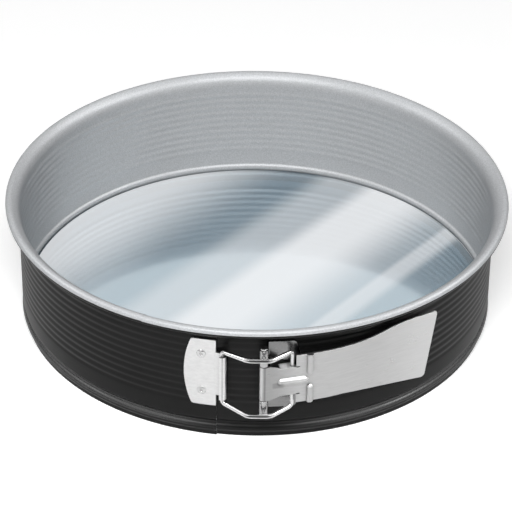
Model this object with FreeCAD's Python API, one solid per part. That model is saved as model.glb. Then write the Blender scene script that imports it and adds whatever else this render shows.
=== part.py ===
"""Springform pan, 26 cm: a split steel band that clips round a glass base, closed by an over-centre lever.

Millimetres, +Z up. The origin is on the pan's axis at table height, and the latch faces -Y.
The spring band is one strip on the real pan. It is built here as two halves that part at the back,
because the pan opens by bending there. The left half is a trace larger, so that its end laps over the
right half's tongue.
"""
import FreeCAD
import Part
import math
import os

V = FreeCAD.Vector
Z = V(0, 0, 1)

# Driving sizes of the pan
wall_r = 127.8            # outside of the wall, on the rib crests
sheet = 0.5               # steel of the band
pan_height = 69.7
rim_r = 135.4             # outermost point of the rolled rim
rim_roll_r = 2.3          # outside radius of the roll at the edge of the rim
rib_count = 10
rib_pitch = 4.03
rib_depth = 0.3
first_rib_z = 19.0        # foot of the ribbed stretch
bead_depth = 1.6          # outward bead that holds the base
neck_depth = 1.3          # from the groove above the bead out to the wall
bead_slope = 50.0
bead_z = 5.0              # height of the bead's crest
flare_r = 8.0
flare_turn = 55.0
glass_thickness = 3.9
glass_play = 0.15         # between the glass edge and the bead, as it is clamped

# Where the band ends lap, as distances along the wall from the front centre line
lap_shift = 0.8           # how far the left half stands outside the right half at the front
left_end = -19.4          # free end of the left half
tongue_end = -55.2        # free end of the right half, under the left one
lap_top_z = 62.0          # the lapping wall stops here, under the rim of the right half
tongue_foot_z = 11.6      # the tongue is notched below here, clear of the base and the neck
notch_play = 0.6          # the notch stops this far inside the left half's end
split_azimuth = 82.0      # where the two halves part, nearly opposite the left end
split_gap = 0.1
seam_gap = 0.3            # between the two ends of the rim

# Latch
plate = 1.0               # steel of the brackets and the lever
centre_z = 40.0           # the latch is symmetric about this height
bracket_height = 40.0
bracket_width = 16.5
bracket_bulge = 3.9       # how far the round edge of a bracket stands out in the middle
bracket_corner = 2.0
rivet_in = 7.4            # from a bracket's straight edge to its rivets
rivet_spacing = 22.4
rivet_r = 1.5
rivet_head_r = 2.4
rivet_head = 0.7
rivet_dimple_r = 1.1
wire_r = 1.2              # bail and fulcrum pin
wire_play = 0.07
curl_r = wire_r + wire_play + plate / 2      # middle of the sheet where it is rolled round a wire
knuckle = V(-16.4, -131.25, 0)               # axis of the bail in its bracket
fulcrum = V(4.35, -135.5, 0)                 # axis of the lever
hook = V(18.6, -131.5, 0)                    # where the bail is held by the lever
bow_y = -141.0            # the arms of the bail bow outward round the fulcrum
bow_left = -3.5
bow_right = 7.9
bail_bend = 2.2           # at the knuckle and at the tips
bow_bend = 6.0
arm_half_at_knuckle = 15.6                   # height of each bail arm above or below the centre
arm_half_at_bow = 16.9
arm_half_at_hook = 16.7
knuckle_half = 13.0
knuckle_wrap = 200        # degrees that the sheet turns round the wire
tongue_bend = 1.5
tongue_root = 1.0         # the tongue starts this far inside the plate's edge
finger_bend = 1.0
finger_root = 2.0
finger_wrap = 265
finger_play = 0.4         # between the lever's roll and each finger
pin_play = 0.3
pin_head = 0.7
pin_lip = 0.6             # how far the pin's upset ends stand out
right_plate_start = 7.6   # straight edge of the lever bracket, along the wall

# Lever
lever_wrap = 255
neck_angle = 14.9         # the neck runs from the fulcrum towards the wall
neck_run = 16.3           # from the fulcrum to the wide part
neck_half_at_pin = 10.1
neck_half = 8.2
wide_low = 13.4           # lower and upper edge of the wide part, from its middle line
wide_high = 15.2
bend_run = 25.0           # from the fulcrum to the bend that follows the pan's wall
handle_bend_r = 85.0
handle_bend = 14.3
lower_run = 90.0          # along the lever to the handle's lower and upper corners
upper_run = 96.3
end_low = 19.2
end_high = 19.6
end_corner = 2.0
taper_from = 44.5         # the lower edge widens evenly from here to the end
flare_from = 50.0         # the upper edge rises between these two places
flare_to = 81.0
bead_r = 2.5              # stiffening beads pressed in the lever
bead_height = 1.8
rib_r = 1.7
bead_start = 8.8
bead_end = 20.5
rib_run = 7.0             # from the neck's end to the two upright ribs
rib_reach = 4.7           # height of the ribs' inner ends
lug_start = 8.0           # the neck's edges are folded back from here to its end
lug_reach = 4.3
lug_hole_r = 1.3
slit = V(1.8, 8, 0.8)     # relief at the end of each fold
tip_play = 0.2


def plan(x, y):
    """A point of a strip that is drawn in plan."""
    return V(x, y, 0)


def section(r, z):
    """A point of a strip that is drawn as a section through the pan's axis."""
    return V(r, 0, z)


def strip(start, heading, moves, thickness, place):
    """Face of a bent sheet seen edge on. Its middle line starts at start, with that heading in degrees, and
    follows moves: ("line", length) or ("arc", radius, turn), where a positive turn is to the left."""
    x, y = start
    half = thickness / 2
    sides = {1: [], -1: []}
    for move in moves:
        a = math.radians(heading)
        if move[0] == "line":
            x2, y2 = x + move[1] * math.cos(a), y + move[1] * math.sin(a)
            for side in sides:
                dx, dy = -side * half * math.sin(a), side * half * math.cos(a)
                sides[side].append((place(x + dx, y + dy), None, place(x2 + dx, y2 + dy)))
            x, y = x2, y2
            continue
        radius, turn = move[1], move[2]
        way = math.copysign(1, turn)
        cx, cy = x - way * radius * math.sin(a), y + way * radius * math.cos(a)
        for side in sides:
            r = radius - way * side * half
            points = []
            for share in (0, 0.5, 1):
                b = math.radians(heading + turn * share)
                points.append(place(cx + way * r * math.sin(b), cy - way * r * math.cos(b)))
            sides[side].append(tuple(points))
        heading += turn
        b = math.radians(heading)
        x, y = cx + way * radius * math.sin(b), cy - way * radius * math.cos(b)
    edges = []
    for begin, middle, end in sides[1] + sides[-1]:
        if middle is None:
            edges.append(Part.makeLine(begin, end))
        else:
            edges.append(Part.Arc(begin, middle, end).toShape())
    edges.append(Part.makeLine(sides[1][0][0], sides[-1][0][0]))
    edges.append(Part.makeLine(sides[1][-1][2], sides[-1][-1][2]))
    return Part.Face(Part.Wire(Part.__sortEdges__(edges)))


def s_bend(radius, turn):
    """Two opposite arcs that shift a strip sideways."""
    return [("arc", radius, turn), ("arc", radius, -turn)]


def bend_radius(shift, turn):
    return shift / (2 * (1 - math.cos(math.radians(turn))))


def bend_height(radius, turn):
    return 2 * radius * math.sin(math.radians(turn))


def band_section(extra_r):
    """Section of the band: foot, bead, groove, ribbed wall, flare and rolled rim."""
    bead_bend = bend_radius(bead_depth, bead_slope)
    neck_bend = bend_radius(neck_depth, bead_slope)
    foot = bead_z - bend_height(bead_bend, bead_slope)
    wall_start = bead_z + bend_height(bead_bend, bead_slope) + bend_height(neck_bend, bead_slope)
    rib_turn = 2 * math.degrees(math.atan(2 * rib_depth / rib_pitch))
    rib_bend = rib_pitch / (4 * math.sin(math.radians(rib_turn)))
    roll = rim_roll_r - sheet / 2
    tilt = math.radians(flare_turn)
    ramp = (rim_r - rim_roll_r - wall_r + sheet / 2 - flare_r * (1 - math.cos(tilt)) - roll * math.cos(tilt))
    ramp /= math.sin(tilt)
    flare_rise = (flare_r - roll) * math.sin(tilt) + ramp * math.cos(tilt)
    flare_z = pan_height - rim_roll_r - flare_rise
    ribs_top = first_rib_z + rib_count * rib_pitch
    moves = [("line", foot)]
    moves += s_bend(bead_bend, -bead_slope) + s_bend(bead_bend, bead_slope)
    moves += s_bend(neck_bend, -bead_slope)
    moves += [("line", first_rib_z - wall_start)]
    for _ in range(rib_count):
        moves += [("arc", rib_bend, rib_turn), ("arc", rib_bend, -2 * rib_turn), ("arc", rib_bend, rib_turn)]
    moves += [("line", flare_z - ribs_top)]
    moves += [("arc", flare_r, -flare_turn), ("line", ramp), ("arc", roll, flare_turn - 290)]
    foot_r = wall_r - sheet / 2 - neck_depth
    return strip((foot_r + extra_r, 0), 90, moves, sheet, section)


def azimuth(along_wall):
    """Direction from the pan's axis, in degrees, of a place that far along the wall from the front."""
    return -90 + math.degrees(along_wall / wall_r)


def turned(face, centre, start, end):
    """Solid swept by a section from azimuth start to azimuth end."""
    solid = face.revolve(centre, Z, end - start)
    solid.rotate(centre, Z, start)
    return solid


def ring_sector(r_in, r_out, z_low, z_high, start, end, centre=V(0, 0, 0)):
    corners = [section(r_in, z_low), section(r_out, z_low), section(r_out, z_high), section(r_in, z_high)]
    face = Part.Face(Part.makePolygon(corners + corners[:1]))
    face.translate(centre)
    return turned(face, centre, start, end)


left_centre = V(0, -lap_shift / 2, 0)
half_split = math.degrees(split_gap / 2 / wall_r)


def band_right():
    """Runs from its notched tongue, under the end of the left half, to the back."""
    whole = turned(band_section(0), V(0, 0, 0), azimuth(tongue_end), split_azimuth - half_split)
    notch = ring_sector(wall_r - 6, wall_r + 6, -1, tongue_foot_z,
                        azimuth(tongue_end) - 1, azimuth(left_end - notch_play))
    return whole.cut(notch)


def band_left():
    """Larger by half the lap and set forward by as much: flush at the back, outside the tongue in front."""
    face = band_section(lap_shift / 2)
    face.translate(left_centre)
    end = 360 + azimuth(left_end)
    seam = 360 + azimuth(tongue_end - seam_gap)
    whole = turned(face, left_centre, split_azimuth + half_split, end)
    trim = ring_sector(wall_r - 6, rim_r + 6, lap_top_z, pan_height + 3, seam, end + 2, left_centre)
    return whole.cut(trim)


def glass_base():
    """Flat disc with a fully rounded edge that sits in the bead."""
    edge = glass_thickness / 2
    glass_r = wall_r - neck_depth + bead_depth - sheet - glass_play
    low, high = bead_z - edge, bead_z + edge
    flat_r = glass_r - edge
    outline = [
        Part.makeLine(section(0, low), section(flat_r, low)),
        Part.Arc(section(flat_r, low), section(glass_r, bead_z), section(flat_r, high)).toShape(),
        Part.makeLine(section(flat_r, high), section(0, high)),
        Part.makeLine(section(0, high), section(0, low)),
    ]
    return Part.Face(Part.Wire(outline)).revolve(V(0, 0, 0), Z, 360)


def bracket_plate(inner_r, centre, along, side):
    """Plate curved to the wall: one straight edge at along, and a round one away from the latch."""
    half = bracket_height / 2
    turn = math.radians(azimuth(along + side * bracket_width / 2) + 90)
    near, far = -side * bracket_width / 2, side * (bracket_width / 2 - bracket_bulge)
    bulge = side * bracket_width / 2
    low, high = centre_z - half, centre_z + half
    curve = Part.Arc(V(far, 0, low), V(bulge, 0, centre_z), V(far, 0, high)).toShape()
    edges = [
        Part.makeLine(V(near, 0, high), V(near, 0, low)),
        Part.makeLine(V(near, 0, low), V(far, 0, low)),
        curve,
        Part.makeLine(V(far, 0, high), V(near, 0, high)),
    ]
    prism = Part.Face(Part.Wire(edges)).extrude(V(0, -40, 0))
    rounded = [e for e in prism.Edges
               if abs(e.Vertexes[0].X - far) < 1e-6 and abs(e.Vertexes[-1].X - far) < 1e-6
               and abs(e.Vertexes[0].Y - e.Vertexes[-1].Y) > 1]
    prism = prism.makeFillet(bracket_corner, rounded)
    prism.translate(V(0, -inner_r + 20, 0))
    prism.rotate(V(0, 0, 0), Z, math.degrees(turn))
    shell = ring_sector(inner_r, inner_r + plate, low - 1, high + 1, -150, -30)
    solid = shell.common(prism)
    solid.translate(centre)
    return solid


def rivet_axes(along, side, centre):
    """Points on the two rivet axes of a bracket, on the pan's axis, and their outward direction."""
    a = math.radians(azimuth(along + side * rivet_in))
    out = V(math.cos(a), math.sin(a), 0)
    return [centre + V(0, 0, centre_z + k * rivet_spacing / 2) for k in (-1, 1)], out


def rivet_holes(along, side, centre):
    points, out = rivet_axes(along, side, centre)
    return [Part.makeCylinder(rivet_r + 0.02, 40, p + out * (wall_r - 20), out) for p in points]


def rivet(index, along, side, centre, wall_inside, head_from):
    """Shank flush with the inside of the band, and a low domed head with a dimple outside."""
    points, out = rivet_axes(along, side, centre)
    p = points[index]
    ball_r = (rivet_head_r ** 2 + rivet_head ** 2) / (2 * rivet_head)
    shank = Part.makeCylinder(rivet_r, head_from - wall_inside, p + out * wall_inside, out)
    cap = Part.makeCylinder(rivet_head_r + 1, rivet_head + 1, p + out * head_from, out)
    dome = Part.makeSphere(ball_r, p + out * (head_from + rivet_head - ball_r)).common(cap)
    dimple = Part.makeSphere(rivet_dimple_r, p + out * (head_from + rivet_head + rivet_dimple_r / 2))
    return shank.fuse(dome).cut(dimple).removeSplitter()


left_plate_r = wall_r + lap_shift / 2 + 0.05
right_plate_r = wall_r + 0.05


def arc_end(start, heading, radius, turn):
    a, b = math.radians(heading), math.radians(heading + turn)
    way = math.copysign(1, turn)
    return (start[0] + way * radius * (math.sin(b) - math.sin(a)),
            start[1] - way * radius * (math.cos(b) - math.cos(a)))


def knuckle_tongue(start, heading):
    """Lean and length of the straight run from the plate's edge that meets the knuckle's roll smoothly."""
    low, high = heading - 80, heading - 1
    for _ in range(50):
        lean = (low + high) / 2
        bent = arc_end(start, heading, tongue_bend, lean - heading)
        side = math.radians(lean + 90)
        touch = (knuckle.x + curl_r * math.cos(side), knuckle.y + curl_r * math.sin(side))
        needed = math.degrees(math.atan2(touch[1] - bent[1], touch[0] - bent[0]))
        low, high = (lean, high) if needed > lean else (low, lean)
    return lean, math.dist(bent, touch)


def bail_bracket():
    """Riveted plate whose tongue is rolled into the knuckle of the bail."""
    solid = bracket_plate(left_plate_r, left_centre, left_end, -1)
    a = math.radians(azimuth(left_end - tongue_root))
    middle_r = left_plate_r + plate / 2
    start = (left_centre.x + middle_r * math.cos(a), left_centre.y + middle_r * math.sin(a))
    heading = math.degrees(a) + 90
    lean, run = knuckle_tongue(start, heading)
    moves = [("arc", tongue_bend, lean - heading), ("line", run), ("arc", curl_r, -knuckle_wrap)]
    roll = strip(start, heading, moves, plate, plan).extrude(V(0, 0, 2 * knuckle_half))
    roll.translate(V(0, 0, centre_z - knuckle_half))
    solid = solid.fuse(roll).removeSplitter()
    for hole in rivet_holes(left_end, -1, left_centre):
        solid = solid.cut(hole)
    return solid


def lever_bracket():
    """Riveted plate with two fingers that stand off the wall and are rolled round the fulcrum pin."""
    solid = bracket_plate(right_plate_r, V(0, 0, 0), right_plate_start, 1)
    middle_r = right_plate_r + plate / 2
    start_x, web_x = right_plate_start + finger_root, fulcrum.x + curl_r
    start = (start_x, -math.sqrt(middle_r ** 2 - start_x ** 2))
    corner = (web_x, -math.sqrt(middle_r ** 2 - web_x ** 2))
    heading = math.degrees(math.atan2(corner[1] - start[1], corner[0] - start[0]))
    turn = 270 - heading % 360
    trim = finger_bend * math.tan(math.radians(turn / 2))
    moves = [("line", math.dist(start, corner) - trim), ("arc", finger_bend, turn),
             ("line", corner[1] - fulcrum.y - trim), ("arc", curl_r, -finger_wrap)]
    finger = strip(start, heading, moves, plate, plan)
    finger_height = bracket_height / 2 - neck_half_at_pin - finger_play
    for low in (centre_z - bracket_height / 2, centre_z + bracket_height / 2 - finger_height):
        one = finger.extrude(V(0, 0, finger_height))
        one.translate(V(0, 0, low))
        solid = solid.fuse(one)
    solid = solid.removeSplitter()
    for hole in rivet_holes(right_plate_start, 1, V(0, 0, 0)):
        solid = solid.cut(hole)
    return solid


def fulcrum_pin():
    """Wire pin, upset at both ends."""
    length = bracket_height + 2 * pin_play
    low = centre_z - length / 2
    pin = Part.makeCylinder(wire_r, length, fulcrum + Z * low)
    for z in (low - pin_head, low + length):
        pin = pin.fuse(Part.makeCylinder(wire_r + pin_lip, pin_head, fulcrum + Z * z))
    return pin.removeSplitter()


def rounded_path(points, radii):
    """Wire through the points, with each corner rounded."""
    edges = []
    last = points[0]
    for before, corner, after, radius in zip(points, points[1:], points[2:], radii):
        a, b = (before - corner).normalize(), (after - corner).normalize()
        half = a.getAngle(b) / 2
        back = radius / math.tan(half)
        start, end = corner + a * back, corner + b * back
        middle_way = (a + b).normalize()
        middle = corner + middle_way * (radius / math.sin(half) - radius)
        edges.append(Part.makeLine(last, start))
        edges.append(Part.Arc(start, middle, end).toShape())
        last = end
    edges.append(Part.makeLine(last, points[-1]))
    return Part.Wire(edges)


def bail():
    """One bent wire: a leg in the knuckle, two bowed arms, and an inturned tip at the end of each."""
    arm = [(hook, arm_half_at_hook), (V(bow_right, bow_y, 0), arm_half_at_bow),
           (V(bow_left, bow_y, 0), arm_half_at_bow), (knuckle, arm_half_at_knuckle)]
    tip = neck_half + tip_play
    points = [hook + Z * (centre_z + tip)]
    points += [p + Z * (centre_z + half) for p, half in arm]
    points += [p + Z * (centre_z - half) for p, half in reversed(arm)]
    points += [hook + Z * (centre_z - tip)]
    path = rounded_path(points, [bail_bend, bow_bend, bow_bend, bail_bend] * 2)
    ring = Part.Wire(Part.makeCircle(wire_r, points[0], Z))
    return path.makePipeShell([ring], True, False)


def lever_x(run):
    """x of a place on the middle of the lever's sheet, that far along it from the fulcrum."""
    a = math.radians(neck_angle)
    bent = min(max(run - bend_run, 0), handle_bend_r * math.radians(handle_bend))
    b = a + bent / handle_bend_r
    x = fulcrum.x + curl_r * math.sin(a) + min(run, bend_run) * math.cos(a)
    return x + handle_bend_r * (math.sin(b) - math.sin(a)) + max(run - bend_run - bent, 0) * math.cos(b)


def level_s(p, q):
    """Two arcs from p to q that are level at both ends."""
    dx, dz = q.x - p.x, q.z - p.z
    r = (dx ** 2 + dz ** 2) / abs(4 * dz)
    a = math.asin(abs(dx) / 2 / r) / 2
    off = V(math.copysign(r * math.sin(a), dx), 0, math.copysign(r * (1 - math.cos(a)), dz))
    middle = (p + q) * 0.5
    return [Part.Arc(p, p + off, middle).toShape(), Part.Arc(middle, q - off, q).toShape()]


def lever_blank():
    """Front outline of the lever as a prism: narrow at the pin, wide at the handle's slanted end."""
    def neck_points(side, wide, widens_at):
        corners = [(fulcrum.x - 3, neck_half_at_pin), (lever_x(3), neck_half_at_pin),
                   (lever_x(lug_start), neck_half), (lever_x(neck_run), neck_half),
                   (lever_x(neck_run), wide), (widens_at, wide)]
        return [V(x, -160, centre_z + side * half) for x, half in corners]

    low = neck_points(-1, wide_low, taper_from) + [V(lever_x(lower_run), -160, centre_z - end_low)]
    high = neck_points(1, wide_high, flare_from)
    flare_end = V(flare_to, -160, centre_z + end_high)
    high_end = V(lever_x(upper_run), -160, flare_end.z)
    edges = [Part.makeLine(p, q) for points in (low, high) for p, q in zip(points, points[1:])]
    edges += level_s(high[-1], flare_end) + [Part.makeLine(flare_end, high_end)]
    edges += [Part.makeLine(low[0], high[0]), Part.makeLine(low[-1], high_end)]
    prism = Part.Face(Part.Wire(Part.__sortEdges__(edges))).extrude(V(0, 110, 0))
    ends = [e for e in prism.Edges if abs(e.Vertexes[0].Y - e.Vertexes[-1].Y) > 1
            and min(e.Vertexes[0].X, e.Vertexes[-1].X) > low[-1].x - 1]
    return prism.makeFillet(end_corner, ends)


def bead(start, end, radius):
    """Shallow bead with ball ends on the outer face (at y = -plate/2) of a flat sheet."""
    sink = V(0, radius - bead_height - plate / 2, 0)
    start, end = start + sink, end + sink
    shape = Part.makeCylinder(radius, (end - start).Length, start, end - start)
    for ball in (start, end):
        shape = shape.fuse(Part.makeSphere(radius, ball))
    return shape.common(Part.makeBox(100, 10, 60, V(-50, -10, -30)))


def lever():
    """Pressed plate: rolled round the pin, a neck with lugs for the bail, and a widening handle."""
    a = math.radians(neck_angle)
    curl_start = math.radians(neck_angle - 90 - lever_wrap)
    start = (fulcrum.x + curl_r * math.cos(curl_start), fulcrum.y + curl_r * math.sin(curl_start))
    handle_run = upper_run + 5 - bend_run - handle_bend_r * math.radians(handle_bend)
    moves = [("arc", curl_r, lever_wrap), ("line", bend_run),
             ("arc", handle_bend_r, handle_bend), ("line", handle_run)]
    sheet_face = strip(start, neck_angle - lever_wrap, moves, plate, plan)
    solid = sheet_face.extrude(V(0, 0, 2 * centre_z)).common(lever_blank())

    rib_x = neck_run + rib_run
    details = [bead(V(bead_start, 0, 0), V(bead_end, 0, 0), bead_r)]
    for side, wide in ((-1, wide_low), (1, wide_high)):
        details.append(bead(V(rib_x, 0, side * rib_reach), V(rib_x, 0, side * (wide + 3)), rib_r).common(
            Part.makeBox(20, 20, wide_low + wide_high, V(rib_x - 10, -10, -wide_low))))
        low = neck_half - plate if side > 0 else -neck_half
        details.append(Part.makeBox(neck_run - lug_start, lug_reach, plate, V(lug_start, 0, low)))
    slits = [Part.makeBox(slit.x, slit.y, slit.z, V(neck_run - 0.01, -slit.y / 2, low))
             for low in (neck_half - slit.z / 2, -neck_half - slit.z / 2)]
    for shape in details + slits:
        shape.rotate(V(0, 0, 0), Z, neck_angle)
        shape.translate(fulcrum + V(math.sin(a), -math.cos(a), 0) * curl_r + Z * centre_z)
    lug_holes = Part.makeCylinder(lug_hole_r, 2 * neck_half + 2, hook + Z * (centre_z - neck_half - 1))
    return solid.fuse(details).cut(slits + [lug_holes]).removeSplitter()


def with_holes(band, holes):
    for hole in holes:
        band = band.cut(hole)
    return band


def build():
    left_inside = wall_r + lap_shift / 2 - sheet
    right_inside = wall_r - sheet
    parts = {
        "glass_base": glass_base(),
        "band_left": with_holes(band_left(), rivet_holes(left_end, -1, left_centre)),
        "band_right": with_holes(band_right(), rivet_holes(right_plate_start, 1, V(0, 0, 0))),
        "bail_bracket": bail_bracket(),
        "lever_bracket": lever_bracket(),
        "fulcrum_pin": fulcrum_pin(),
        "bail": bail(),
        "lever": lever(),
    }
    for index, name in enumerate(("lower", "upper")):
        parts[f"bail_bracket_rivet_{name}"] = rivet(
            index, left_end, -1, left_centre, left_inside, left_plate_r + plate)
        parts[f"lever_bracket_rivet_{name}"] = rivet(
            index, right_plate_start, 1, V(0, 0, 0), right_inside, right_plate_r + plate)
    return parts


def main():
    os.makedirs("parts", exist_ok=True)
    for name, shape in build().items():
        solids = shape.Solids
        if len(solids) == 1:
            shape = solids[0]
        shape.exportStep(f"parts/{name}.step")
        print(f"{name:28s} solids {len(solids)} valid {shape.isValid()} volume {shape.Volume:9.1f}")


main()
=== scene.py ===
"""Looks of the springform pan: a black and silver coated band, a mirror-like glass base and a steel latch."""

import math

import bmesh
import bpy
from mathutils import Matrix, Vector

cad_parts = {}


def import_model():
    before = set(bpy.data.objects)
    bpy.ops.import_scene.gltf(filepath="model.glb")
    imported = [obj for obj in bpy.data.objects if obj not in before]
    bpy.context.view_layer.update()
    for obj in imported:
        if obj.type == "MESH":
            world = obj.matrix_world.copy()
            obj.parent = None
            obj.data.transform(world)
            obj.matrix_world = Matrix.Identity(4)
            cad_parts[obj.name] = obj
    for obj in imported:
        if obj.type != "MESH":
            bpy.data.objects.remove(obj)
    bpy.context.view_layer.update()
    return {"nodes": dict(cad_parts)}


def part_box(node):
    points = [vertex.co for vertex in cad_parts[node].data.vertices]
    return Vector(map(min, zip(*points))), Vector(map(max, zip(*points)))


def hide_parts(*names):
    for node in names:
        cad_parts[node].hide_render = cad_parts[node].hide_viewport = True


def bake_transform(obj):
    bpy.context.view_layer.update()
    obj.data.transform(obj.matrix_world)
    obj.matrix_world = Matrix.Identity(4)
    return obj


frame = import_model()

MM = 0.001

# Section of the band, in millimetres. The same sheet as the frame's band nodes.
WALL_R = 127.8
SHEET = 0.5
RIM_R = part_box("band_right")[1].x / MM
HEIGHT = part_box("band_right")[1].z / MM
ROLL_R = 2.3
RIBS = 10
RIB_PITCH = 4.03
RIB_DEPTH = 0.3
FIRST_RIB_Z = 19.0
BEAD_DEPTH = 1.6
NECK_DEPTH = 1.3
BEAD_SLOPE = 50.0
BEAD_Z = 5.0
FLARE_R = 8.0
FLARE_TURN = 55.0

# Where the band starts and ends, along its wall from the front centre line
LAP_SHIFT = 0.8
LEFT_END = -19.4
TONGUE_END = -55.2
SEAM_GAP = 0.3
LAP_TOP_Z = 62.0
TONGUE_FOOT_Z = 11.6
SPLIT = 82.0
NOTCH_PLAY = 0.6          # the tongue's notch stops this far inside the left half's end
RIM_DRAW_IN = 1.1         # the left half's rim is this much smaller at its seam, to meet the right half's
STEP = 1.0                # degrees between two rings of the skin

BLACK, SILVER = 0, 1      # material slots of the skin

FULCRUM_X = 0.00435       # how far right of the middle the lever's pin stands, in metres

glass_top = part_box("glass_base")[1].z

# The viewpoint: about 33 degrees above the table, straight in front of the latch, with a long lens
EYE = Vector((-0.00008, -1.1116, 0.7475))
EYE_TILT = math.radians(90 - 32.94)
EYE_ROLL = math.radians(0.60)
LENS = 169.9

# Brightness of the studio, and of the dark room behind the camera
SKY = 1.1
HORIZON = 0.35
HORIZON_RISE = (0.1, 0.45)            # upward part of a ray over which the horizon brightens to the sky
MATT_SKY = 0.13
ROOM = 0.1
ROOM_SIDE = (0.0, -0.87, 0.5)
ROOM_EDGE = (0.883, 0.978)            # share of a ray along ROOM_SIDE: the room's edge, and its darkest

# Lights that only mirrors see, as (place, size, watts)
GLEAMS = {
    "rim_gleam": ((0.0, -0.80, 1.5), (1.5, 0.5), 16.0),
    "right_gleam": ((0.95, 0.1, 0.95), (1.1, 0.45), 8.0),
    "left_gleam": ((-0.95, 0.2, 0.88), (0.9, 0.4), 4.0),
}

# Soft painted window glints on the glass, as (from, to, soft edge before, soft edge after, share), in
# millimetres along their common normal
PAINTED_GLINTS = {
    "pale_haze": (-200.0, -110.0, 10.0, 55.0, 0.57),
    "veil": (-34.0, 24.0, 16.0, 45.0, 0.30),
    "main_streak": (-7.0, 9.0, 14.0, 32.0, 0.62),
    "thin_streak": (49.0, 54.0, 5.0, 8.0, 0.38),
}
GLINT_TURN = math.radians(52.0)


# ---------------------------------------------------------------- materials

class Nodes:
    """Small helper that builds a node tree line by line."""

    def __init__(self, tree):
        self.tree = tree

    def node(self, kind, **settings):
        made = self.tree.nodes.new(kind)
        for key, value in settings.items():
            setattr(made, key, value)
        return made

    def link(self, source, target):
        self.tree.links.new(source, target)

    def feed(self, socket, value):
        if isinstance(value, bpy.types.NodeSocket):
            self.link(value, socket)
        else:
            socket.default_value = value

    def split(self, vector):
        """The parts of a vector, by the names X, Y and Z."""
        made = self.node("ShaderNodeSeparateXYZ")
        self.link(vector, made.inputs["Vector"])
        return made.outputs

    def remap(self, value, low, high, to_low, to_high, smooth=False):
        made = self.node("ShaderNodeMapRange")
        if smooth:
            made.interpolation_type = "SMOOTHSTEP"
        ends = {"Value": value, "From Min": low, "From Max": high, "To Min": to_low, "To Max": to_high}
        for key, end in ends.items():
            self.feed(made.inputs[key], end)
        return made.outputs["Result"]

    def math(self, operation, *values):
        made = self.node("ShaderNodeMath", operation=operation)
        for socket, value in zip(made.inputs, values):
            self.feed(socket, value)
        return made.outputs["Value"]

    def largest(self, first, *others):
        for value in others:
            first = self.math("MAXIMUM", first, value)
        return first

    def product(self, first, *others):
        for value in others:
            first = self.math("MULTIPLY", first, value)
        return first

    def soft_band(self, value, low, high, edge, edge_after=None):
        """1 between low and high, falling smoothly to 0 over the edge on both sides."""
        rise = self.remap(value, low - edge, low, 0.0, 1.0, smooth=True)
        fall = self.remap(value, high, high + (edge_after or edge), 1.0, 0.0, smooth=True)
        return self.product(rise, fall)


class Shader(Nodes):
    """The nodes of a new material."""

    def __init__(self, name):
        self.material = bpy.data.materials.new(name)
        self.material.use_nodes = True
        super().__init__(self.material.node_tree)
        self.tree.nodes.clear()
        self.out = self.node("ShaderNodeOutputMaterial")

    def coords(self, scale=(1, 1, 1), turn=(0, 0, 0)):
        """The object's own coordinates, in metres, turned and then scaled."""
        texture = self.node("ShaderNodeTexCoord")
        turned = self.node("ShaderNodeMapping", vector_type="POINT")
        turned.inputs["Rotation"].default_value = turn
        self.link(texture.outputs["Object"], turned.inputs["Vector"])
        scaled = self.node("ShaderNodeMapping", vector_type="POINT")
        scaled.inputs["Scale"].default_value = scale
        self.link(turned.outputs["Vector"], scaled.inputs["Vector"])
        return scaled.outputs["Vector"]

    def place(self):
        return self.split(self.coords())

    def noise(self, vector, scale, detail=2.0, roughness=0.5):
        made = self.node("ShaderNodeTexNoise")
        self.link(vector, made.inputs["Vector"])
        made.inputs["Scale"].default_value = scale
        made.inputs["Detail"].default_value = detail
        made.inputs["Roughness"].default_value = roughness
        return made.outputs["Fac"]

    def mix(self, factor, first, second):
        made = self.node("ShaderNodeMix", data_type="RGBA")
        self.feed(made.inputs[0], factor)
        self.feed(made.inputs[6], first)
        self.feed(made.inputs[7], second)
        return made.outputs[2]

    def bump(self, height, distance, strength=1.0, normal=None):
        made = self.node("ShaderNodeBump")
        self.feed(made.inputs["Height"], height)
        made.inputs["Distance"].default_value = distance
        made.inputs["Strength"].default_value = strength
        if normal is not None:
            self.link(normal, made.inputs["Normal"])
        return made.outputs["Normal"]

    def principled(self, **values):
        made = self.node("ShaderNodeBsdfPrincipled")
        for key, value in values.items():
            self.feed(made.inputs[key.replace("_", " ")], value)
        self.link(made.outputs["BSDF"], self.out.inputs["Surface"])
        return made

    def transparent(self, color):
        made = self.node("ShaderNodeBsdfTransparent")
        made.inputs["Color"].default_value = (*color, 1.0)
        return made.outputs["BSDF"]

    def mix_shaders(self, share, first, second):
        made = self.node("ShaderNodeMixShader")
        self.feed(made.inputs[0], share)
        self.link(first, made.inputs[1])
        self.link(second, made.inputs[2])
        return made.outputs["Shader"]


def grey(value, tint=(1.0, 1.0, 1.0)):
    return (value * tint[0], value * tint[1], value * tint[2], 1.0)


def coat_black():
    """Satin black non-stick coat with a fine spray texture, with a painted sheen: glossier along the bead
    except at the front.
    """
    bead_low, bead_high, bead_edge = 0.0056, 0.0082, 0.0008
    dull_to, shiny_from = 0.005, 0.055
    s = Shader("coat_black")
    grain = s.noise(s.coords(), 2200.0, 3.0, 0.6)
    drift = s.noise(s.coords(), 25.0, 2.0)
    color = s.mix(s.remap(drift, 0.3, 0.7, 0.0, 1.0), grey(0.004), grey(0.0065))
    place = s.place()
    sideways = s.math("ABSOLUTE", place["X"])
    # Painted sheen: the bead is made glossier away from the front, so that the lamps put a highlight there.
    painted_sheen = s.product(s.soft_band(place["Z"], bead_low, bead_high, bead_edge),
                       s.remap(sideways, dull_to, shiny_from, 0.0, 1.0, smooth=True))
    rough = s.math("SUBTRACT", s.remap(grain, 0.3, 0.7, 0.30, 0.40), s.product(painted_sheen, 0.08))
    s.principled(Base_Color=color, Roughness=rough, Specular_IOR_Level=s.remap(painted_sheen, 0.0, 1.0, 0.2, 1.0),
                 Normal=s.bump(grain, 0.00002, 0.5))
    return s.material


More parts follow.
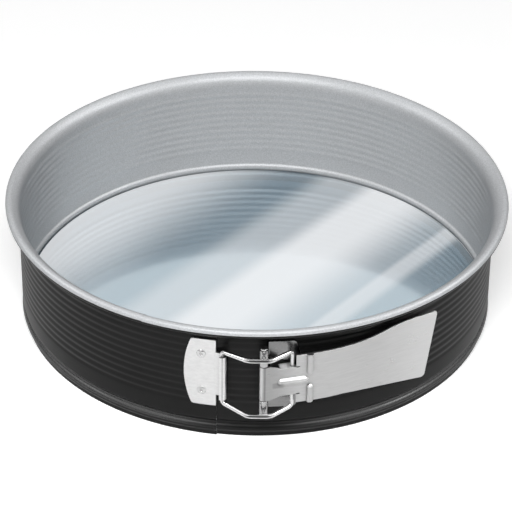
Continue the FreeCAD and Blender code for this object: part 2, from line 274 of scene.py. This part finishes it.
def coat_silver():
    """Silver-grey non-stick coat: fine metallic flakes in a matt film."""
    s = Shader("coat_silver")
    place = s.coords()
    flake = s.noise(place, 1500.0, 4.0, 0.7)
    drift = s.noise(place, 18.0, 2.0)
    tint = (0.975, 1.0, 1.03)
    base = s.mix(s.remap(flake, 0.3, 0.7, 0.0, 1.0), grey(0.36, tint), grey(0.56, tint))
    color = s.mix(s.remap(drift, 0.35, 0.65, 0.0, 0.12), base, grey(0.40))
    rough = s.remap(flake, 0.3, 0.7, 0.36, 0.46)
    s.principled(Base_Color=color, Metallic=0.2, Specular_IOR_Level=0.35, Roughness=rough,
                 Normal=s.bump(flake, 0.00003, 0.6))
    return s.material


def steel(name, tone, rough, grain_scale, turn=0.0, painted_gap_line=None, marks=None, painted_fade=None, painted_highlight=None):
    """Bright steel with lines drawn along the local x axis, which is turned about z, with painted shade in
    corners.

    painted_gap_line is the range of the normal's x in which rolled parts get a painted reflection of the gap
    between two soft lights. painted_fade is (axis, from, to, share): painted shade and painted reflection of
    the dark wall, full up to "from" on that axis and gone at "to". marks and painted_highlight are functions
    that give the share of painted dark and of painted highlight."""
    grain_depth, edge_r, corner_reach = 0.000012, 0.00025, 0.003
    s = Shader(name)
    lines = s.noise(s.coords(scale=grain_scale, turn=(0, 0, -turn)), 1.0, 3.0, 0.65)
    cloud = s.noise(s.coords(), 120.0, 3.0)
    color = s.mix(s.remap(lines, 0.25, 0.75, 0.0, 1.0), grey(tone * 0.93), grey(min(tone * 1.06, 1.0)))
    # Painted shade: ambient occlusion darkens the colour in corners and creases.
    corners = s.node("ShaderNodeAmbientOcclusion", samples=6)
    corners.inputs["Distance"].default_value = corner_reach
    dark = s.remap(corners.outputs["AO"], 0.25, 0.9, 0.75, 0.0)
    # Painted reflection: rolled parts darken in a band of normals, as if they mirrored a gap between soft
    # lights.
    if painted_gap_line:
        facing = s.split(s.node("ShaderNodeNewGeometry").outputs["Normal"])
        dark = s.largest(dark, s.product(s.soft_band(facing["X"], *painted_gap_line, 0.06), 0.8))
    # Painted dark marks from the given function: shade, grooves and mirrored dark.
    if marks:
        dark = s.largest(dark, marks(s))
    # Painted shade and painted reflection of the dark wall, fading out along one axis.
    if painted_fade:
        axis, near, clear, share = painted_fade
        dark = s.largest(dark, s.remap(s.place()[axis], near, clear, share, 0.0, smooth=True))
    # Painted highlight: the given places are mixed towards near white.
    if painted_highlight:
        color = s.mix(painted_highlight(s), color, grey(0.98))
    color = s.mix(dark, color, grey(tone * 0.06))
    roughness = s.math("ADD", s.remap(cloud, 0.3, 0.7, rough - 0.03, rough + 0.05),
                       s.remap(lines, 0.3, 0.7, -0.02, 0.04))
    rounded = s.node("ShaderNodeBevel", samples=4)
    rounded.inputs["Radius"].default_value = edge_r
    s.principled(Base_Color=color, Metallic=1.0, Roughness=roughness,
                 Normal=s.bump(lines, grain_depth, 0.6, normal=rounded.outputs["Normal"]))
    return s.material


def finger_groove_shade(s):
    """Painted shade of a small punched ring in the upper finger and a V-like crimp in the lower one, as dark
    grooves.
    """
    ring_z, ring_in, ring_out = 0.0566, 0.0007, 0.0010
    crimp_low, crimp_high, crimp_lean, crimp_half = 0.0213, 0.0265, 0.24, 0.00012
    front_y = -0.1362
    place = s.place()
    x, z = s.math("SUBTRACT", place["X"], FULCRUM_X), place["Z"]
    up = s.math("SUBTRACT", z, ring_z)
    away = s.math("SQRT", s.math("ADD", s.math("POWER", x, 2.0), s.math("POWER", up, 2.0)))
    ring = s.soft_band(away, ring_in, ring_out, 0.0002)
    spread = s.product(s.math("SUBTRACT", z, crimp_low), crimp_lean)
    leg = s.math("SUBTRACT", s.math("ABSOLUTE", x), spread)
    crimp = s.product(s.soft_band(leg, -crimp_half, crimp_half, 0.00015),
                      s.soft_band(z, crimp_low, crimp_high, 0.0004))
    return s.product(s.largest(ring, crimp), 0.8, s.math("LESS_THAN", place["Y"], front_y))


def lever_painted_highlight(s):
    """Painted highlight on the left of the roll, the tops of the beads and the far end of the handle."""
    roll_to, end_from, end_full = 0.006, 0.055, 0.095
    place = s.place()
    normal = s.split(s.node("ShaderNodeTexCoord").outputs["Normal"])
    roll = s.product(s.soft_band(normal["X"], -0.8, -0.35, 0.25), s.math("LESS_THAN", place["X"], roll_to))
    top = s.remap(normal["Z"], 0.05, 0.3, 0.0, 0.9, smooth=True)
    end = s.remap(place["X"], end_from, end_full, 0.0, 0.45, smooth=True)
    return s.largest(roll, top, end)


def lever_painted_shade(s):
    """Painted shade: the dark line where the roll runs into the neck, and the shade at the near end of the
    middle bead.
    """
    line_x, shade_x, shade_z = (0.0047, 0.0052), (0.0095, 0.0135), (0.0375, 0.0395)
    place = s.place()
    line = s.product(s.soft_band(place["X"], *line_x, 0.0006), 0.55)
    shade = s.product(s.soft_band(place["X"], *shade_x, 0.0025),
                      s.soft_band(place["Z"], *shade_z, 0.0020), 0.45)
    return s.largest(line, shade)


def wire_painted_reflection(s):
    """Painted reflection: the dark of the room drawn along the middle of the bail's bows."""
    bow_x, bow_y = (-0.002, 0.006), -0.1385
    place = s.place()
    facing = s.node("ShaderNodeLayerWeight")
    facing.inputs["Blend"].default_value = 0.5
    core = s.remap(facing.outputs["Facing"], 0.12, 0.34, 0.92, 0.0, smooth=True)
    bow = s.product(s.soft_band(place["X"], *bow_x, 0.005), s.math("LESS_THAN", place["Y"], bow_y))
    return s.product(core, bow)


def painted_glint_share(s):
    """How much of the painted glints shows, from the mirrored view: they slide over the glass as the eye
    moves.
    """
    mirrored = s.split(s.node("ShaderNodeTexCoord").outputs["Reflection"])
    rise = (EYE.z - glass_top) / MM
    x = s.product(s.math("DIVIDE", mirrored["X"], mirrored["Z"]), rise)
    y = s.product(s.math("DIVIDE", mirrored["Y"], mirrored["Z"]), rise)
    y = s.math("ADD", y, EYE.y / MM)
    across = s.math("SUBTRACT", s.product(x, math.sin(GLINT_TURN)), s.product(y, math.cos(GLINT_TURN)))
    clear = 1.0
    for low, high, before, after, share in PAINTED_GLINTS.values():
        glint = s.product(s.soft_band(across, low, high, before, after), share)
        clear = s.product(clear, s.math("SUBTRACT", 1.0, glint))
    return s.math("SUBTRACT", 1.0, clear)


def glass_seen(s):
    """1 where the camera or a mirror sees the top of the glass. Matt and shadow rays go through instead."""
    surface = s.node("ShaderNodeNewGeometry").outputs
    light = s.node("ShaderNodeLightPath").outputs
    seen = s.math("GREATER_THAN", s.split(surface["Normal"])["Z"], 0.5)
    for passing in (light["Is Shadow Ray"], light["Is Diffuse Ray"], surface["Backfacing"]):
        seen = s.product(seen, s.math("SUBTRACT", 1.0, passing))
    return seen


def glass():
    """Clear, slightly blue glass that mirrors the wall, with soft painted window glints across it, which
    glow.
    """
    s = Shader("base_glass")
    mirror = s.node("ShaderNodeBsdfGlossy")
    mirror.inputs["Color"].default_value = (0.83, 0.94, 1.0, 1.0)
    mirror.inputs["Roughness"].default_value = 0.09
    # Painted glints: an emission that glows where the glints fall, though no lamp is there.
    glow = s.node("ShaderNodeEmission")
    glow.inputs["Color"].default_value = (0.955, 0.965, 0.98, 1.0)
    body = s.mix_shaders(0.5, s.transparent((0.05, 0.12, 0.18)), mirror.outputs["BSDF"])
    shown = s.mix_shaders(painted_glint_share(s), body, glow.outputs["Emission"])
    through = s.transparent((0.78, 0.78, 0.78))
    s.link(s.mix_shaders(glass_seen(s), through, shown), s.out.inputs["Surface"])
    return s.material


# ---------------------------------------------------------------- the band

def trace(start, heading, moves, thickness, arc_step=8.0):
    """Both sides of a bent strip as matching lists of points.

    Moves are ("line", length) or ("arc", radius, turn), where a positive turn is to the left."""
    x, y = start
    half = thickness / 2
    path = []

    def add():
        a = math.radians(heading)
        dx, dy = half * math.sin(a), half * math.cos(a)
        path.append(((x - dx, y + dy), (x + dx, y - dy)))

    add()
    for move in moves:
        if move[0] == "line":
            pieces = max(1, round(move[1] / 3.0))
            for _ in range(pieces):
                x += move[1] / pieces * math.cos(math.radians(heading))
                y += move[1] / pieces * math.sin(math.radians(heading))
                add()
            continue
        radius, turn = move[1], move[2]
        way = math.copysign(1, turn)
        pieces = max(2, round(abs(turn) / arc_step))
        for _ in range(pieces):
            a, b = math.radians(heading), math.radians(heading + turn / pieces)
            x += way * radius * (math.sin(b) - math.sin(a))
            y -= way * radius * (math.cos(b) - math.cos(a))
            heading += turn / pieces
            add()
    return [p[0] for p in path], [p[1] for p in path]


def bend_radius(shift, turn):
    return shift / (2 * (1 - math.cos(math.radians(turn))))


def bend_height(radius, turn):
    return 2 * radius * math.sin(math.radians(turn))


def band_section(extra_r):
    """Inner and outer side of the band's section, from the foot to the rim's roll."""
    bead, neck = bend_radius(BEAD_DEPTH, BEAD_SLOPE), bend_radius(NECK_DEPTH, BEAD_SLOPE)
    foot = BEAD_Z - bend_height(bead, BEAD_SLOPE)
    wall_start = BEAD_Z + bend_height(bead, BEAD_SLOPE) + bend_height(neck, BEAD_SLOPE)
    rib_turn = 2 * math.degrees(math.atan(2 * RIB_DEPTH / RIB_PITCH))
    rib = RIB_PITCH / (4 * math.sin(math.radians(rib_turn)))
    roll = ROLL_R - SHEET / 2
    tilt = math.radians(FLARE_TURN)
    ramp = RIM_R - ROLL_R - WALL_R + SHEET / 2 - FLARE_R * (1 - math.cos(tilt)) - roll * math.cos(tilt)
    ramp /= math.sin(tilt)
    flare_z = HEIGHT - ROLL_R - (FLARE_R - roll) * math.sin(tilt) - ramp * math.cos(tilt)
    moves = [("line", foot)]
    moves += [("arc", bead, -BEAD_SLOPE), ("arc", bead, BEAD_SLOPE)]
    moves += [("arc", bead, BEAD_SLOPE), ("arc", bead, -BEAD_SLOPE)]
    moves += [("arc", neck, -BEAD_SLOPE), ("arc", neck, BEAD_SLOPE), ("line", FIRST_RIB_Z - wall_start)]
    for _ in range(RIBS):
        moves += [("arc", rib, rib_turn), ("arc", rib, -2 * rib_turn), ("arc", rib, rib_turn)]
    moves += [("line", flare_z - FIRST_RIB_Z - RIBS * RIB_PITCH)]
    moves += [("arc", FLARE_R, -FLARE_TURN), ("line", ramp)]
    moves += [("arc", roll, FLARE_TURN - 290)]
    start = (WALL_R - SHEET / 2 - NECK_DEPTH + extra_r, 0.0)
    return trace(start, 90.0, moves, SHEET)


def azimuth(along):
    return -90 + math.degrees(along / WALL_R)


def smooth(t):
    t = min(max(t, 0.0), 1.0)
    return t * t * (3 - 2 * t)


def ring_plan(outer, stretches):
    """Azimuths of the skin's rings, and the part of the section between each ring and the next.

    Each stretch is (start, end, lowest z, highest z), in order of azimuth."""
    count = len(outer)
    angles, spans = [], []
    for start, end, z_low, z_high in stretches:
        steps = max(1, math.ceil((end - start) / STEP))
        low = 0 if z_low is None else next(k for k in range(count) if outer[k][1] >= z_low)
        high = count - 1 if z_high is None else next(k for k in range(count) if outer[k][1] >= z_high)
        for k in range(steps):
            angles.append(start + (end - start) * k / steps)
            spans.append((low, high))
    angles.append(stretches[-1][1])
    return angles, spans


def ring_points(sides, angles, centre_y, draw_in, seam):
    """The section's points on every ring. The rim is drawn in evenly from the split to the seam."""
    ribs_top = FIRST_RIB_Z + RIBS * RIB_PITCH
    points = []
    for angle in angles:
        c, s = math.cos(math.radians(angle)), math.sin(math.radians(angle))
        drawn = draw_in * smooth((angle - SPLIT) / (seam - SPLIT)) if draw_in else 0.0
        for side in sides:
            for r, z in side:
                r -= drawn * smooth((z - ribs_top) / (HEIGHT - ROLL_R - ribs_top))
                points.append((r * c * MM, (r * s + centre_y) * MM, z * MM))
    return points


def skin_faces(spans, count, edge):
    """Faces between the rings and over the open ends, and the material slot of each."""
    faces, slots = [], []

    def at(ring, side, k):
        return (ring * 2 + side) * count + k

    def add(corners, slot):
        faces.append([at(*corner) for corner in corners])
        slots.append(slot)

    def cap(ring, low, high, forward):
        for k in range(low, high):
            corners = [(ring, 0, k), (ring, 0, k + 1), (ring, 1, k + 1), (ring, 1, k)]
            add(corners if forward else corners[::-1], SILVER)

    for ring, (low, high) in enumerate(spans):
        after = ring + 1
        for k in range(low, high):
            add([(ring, 0, k), (after, 0, k), (after, 0, k + 1), (ring, 0, k + 1)], BLACK)
            inside = SILVER if k < edge else BLACK
            add([(ring, 1, k), (ring, 1, k + 1), (after, 1, k + 1), (after, 1, k)], inside)
        add([(ring, 0, low), (ring, 1, low), (after, 1, low), (after, 0, low)], SILVER)
        add([(ring, 0, high), (after, 0, high), (after, 1, high), (ring, 1, high)], SILVER)
        before = spans[ring - 1] if ring else (low, low)
        if before != (low, high):
            for k0, k1, forward in edge_spans(before, (low, high)):
                cap(ring, k0, k1, forward)
    cap(len(spans), *spans[-1], False)
    return faces, slots


def swept_band(name, extra_r, centre_y, stretches, materials, draw_in=0.0):
    """Skin of one half of the band: its section swept round the pan."""
    inner, outer = band_section(extra_r)
    count = len(inner)
    outermost = max(range(count), key=lambda k: inner[k][0])
    angles, spans = ring_plan(outer, stretches)
    points = ring_points((outer, inner), angles, centre_y, draw_in, stretches[0][1])
    faces, slots = skin_faces(spans, count, outermost)
    mesh = bpy.data.meshes.new(name)
    mesh.from_pydata(points, [], faces)
    for material in materials:
        mesh.materials.append(material)
    mesh.polygons.foreach_set("material_index", slots)
    mesh.polygons.foreach_set("use_smooth", [True] * len(faces))
    mesh.update()
    drop_loose(mesh)
    mesh.set_sharp_from_angle(angle=math.radians(40))
    made = bpy.data.objects.new(name, mesh)
    bpy.context.scene.collection.objects.link(made)
    return made


def edge_spans(before, after):
    """Parts of the section that end at a ring, and whether they are open on the side after it only."""
    made = []
    marks = sorted({*before, *after})
    for k0, k1 in zip(marks, marks[1:]):
        in_before = before[0] <= k0 < before[1]
        in_after = after[0] <= k0 < after[1]
        if in_before != in_after:
            made.append((k0, k1, in_after))
    return made


def drop_loose(mesh):
    """Delete the points that no face uses."""
    b = bmesh.new()
    b.from_mesh(mesh)
    bmesh.ops.delete(b, geom=[v for v in b.verts if not v.link_faces], context="VERTS")
    b.to_mesh(mesh)
    b.free()


def band():
    """Two skins in place of the halves of the frame's band, whose own nodes are hidden."""
    materials = (coat_black(), coat_silver())
    seam = 360 + azimuth(TONGUE_END - SEAM_GAP)
    notch_end = azimuth(LEFT_END - NOTCH_PLAY)
    left = swept_band("band_left_skin", LAP_SHIFT / 2, -LAP_SHIFT / 2,
                      [(SPLIT, seam, None, None), (seam, 360 + azimuth(LEFT_END), None, LAP_TOP_Z)],
                      materials, draw_in=RIM_DRAW_IN)
    right = swept_band("band_right_skin", 0.0, 0.0,
                       [(azimuth(TONGUE_END), notch_end, TONGUE_FOOT_Z, None),
                        (notch_end, SPLIT, None, None)],
                       materials)
    for skin, body, node in ((left, "ring_left", "band_left"), (right, "ring_right", "band_right")):
        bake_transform(skin)
        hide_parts(node)


# ---------------------------------------------------------------- finishes on the frame's own nodes

def dress(node, material):
    piece = frame["nodes"][node]
    piece.data.materials.clear()
    piece.data.materials.append(material)


def latch():
    lever_turn = math.radians(25.0)
    dress("lever", steel("lever_steel", 0.60, 0.30, (60, 1100, 1100), lever_turn,
                         marks=lever_painted_shade, painted_fade=("X", 0.006, 0.024, 0.30), painted_highlight=lever_painted_highlight))
    dress("bail_bracket", steel("plate_steel", 0.88, 0.32, (300, 900, 900), painted_gap_line=(-0.02, 0.06)))
    # Painted shade: the lever's bracket is the same steel as the bail's, given a darker tone.
    dress("lever_bracket", steel("finger_steel", 0.56, 0.22, (300, 900, 900), marks=finger_groove_shade,
                                 painted_fade=("Y", -0.1300, -0.1340, 0.5)))
    rivets = steel("rivet_steel", 0.8, 0.25, (900, 900, 900))
    for node in frame["nodes"]:
        if "_rivet_" in node:
            dress(node, rivets)
    wire = steel("wire_steel", 0.88, 0.16, (200, 1800, 1800), marks=wire_painted_reflection)
    for node in ("bail", "fulcrum_pin"):
        dress(node, wire)


# ---------------------------------------------------------------- stage, light and camera

def floor():
    """Pale table that the camera sees as white, and that mirrors see brighter behind the pan."""
    size, sink = 6.0, 0.0002
    near_y, far_y = 0.05, 0.5
    camera_glow, mirror_glow = 0.42, 0.5
    corners = [(-size, -size, 0), (size, -size, 0), (size, size, 0), (-size, size, 0)]
    mesh = bpy.data.meshes.new("floor")
    mesh.from_pydata(corners, [], [(0, 1, 2, 3)])
    made = bpy.data.objects.new("floor", mesh)
    made.location.z = -sink
    bpy.context.scene.collection.objects.link(made)
    s = Shader("floor_white")
    surface = s.principled(Base_Color=(0.82, 0.82, 0.82, 1.0), Roughness=0.9, Specular_IOR_Level=0.1)
    surface.inputs["Emission Color"].default_value = (1, 1, 1, 1)
    light = s.node("ShaderNodeLightPath").outputs
    mirrored = s.product(light["Is Glossy Ray"], s.remap(s.place()["Y"], near_y, far_y, 0.0, mirror_glow))
    glow = s.math("ADD", s.product(light["Is Camera Ray"], camera_glow), mirrored)
    s.link(glow, surface.inputs["Emission Strength"])
    mesh.materials.append(s.material)


def area_light(name, place, size, power):
    """Soft light that points at the middle of the pan's foot."""
    data = bpy.data.lights.new(name, "AREA")
    data.shape = "RECTANGLE"
    data.size, data.size_y = size
    data.energy = power
    made = bpy.data.objects.new(name, data)
    made.location = place
    made.rotation_euler = (-Vector(place)).to_track_quat("-Z", "Y").to_euler()
    bpy.context.scene.collection.objects.link(made)
    return made


def world():
    """Pale studio all round, dimmer at the horizon, with the dark of the room behind the camera.

    Matt surfaces get an even light instead, weaker than what mirrors see."""
    made = bpy.data.worlds.new("studio")
    made.use_nodes = True
    made.cycles.sampling_method = "NONE"
    n = Nodes(made.node_tree)
    ray = n.node("ShaderNodeTexCoord").outputs["Generated"]
    along = n.node("ShaderNodeVectorMath", operation="DOT_PRODUCT")
    along.inputs[1].default_value = ROOM_SIDE
    n.link(ray, along.inputs[0])
    sky = n.remap(n.split(ray)["Z"], *HORIZON_RISE, HORIZON, SKY, smooth=True)
    chosen = n.node("ShaderNodeMix")
    n.link(n.node("ShaderNodeLightPath").outputs["Is Diffuse Ray"], chosen.inputs[0])
    n.link(n.remap(along.outputs["Value"], *ROOM_EDGE, sky, ROOM, smooth=True), chosen.inputs[2])
    chosen.inputs[3].default_value = MATT_SKY
    background = made.node_tree.nodes["Background"].inputs
    background["Color"].default_value = (1.0, 1.0, 1.0, 1.0)
    n.link(chosen.outputs[0], background["Strength"])
    bpy.context.scene.world = made


def lights():
    """A front light that lights surfaces but does not show in mirrors, and gleams that only mirrors see."""
    key = area_light("key", (-0.1, -1.35, 1.4), (1.0, 0.8), 44.0)
    key.visible_glossy = False
    for name, (place, size, power) in GLEAMS.items():
        gleam = area_light(name, place, size, power)
        gleam.visible_diffuse = False


def camera():
    data = bpy.data.cameras.new("camera")
    data.sensor_width = 36.0
    data.lens = LENS
    made = bpy.data.objects.new("camera", data)
    made.matrix_world = (Matrix.Translation(EYE) @ Matrix.Rotation(EYE_TILT, 4, "X")
                         @ Matrix.Rotation(EYE_ROLL, 4, "Z"))
    bpy.context.scene.collection.objects.link(made)
    bpy.context.scene.camera = made
    bpy.context.scene.view_settings.view_transform = "Standard"


band()
dress("glass_base", glass())
latch()
floor()
world()
lights()
camera()
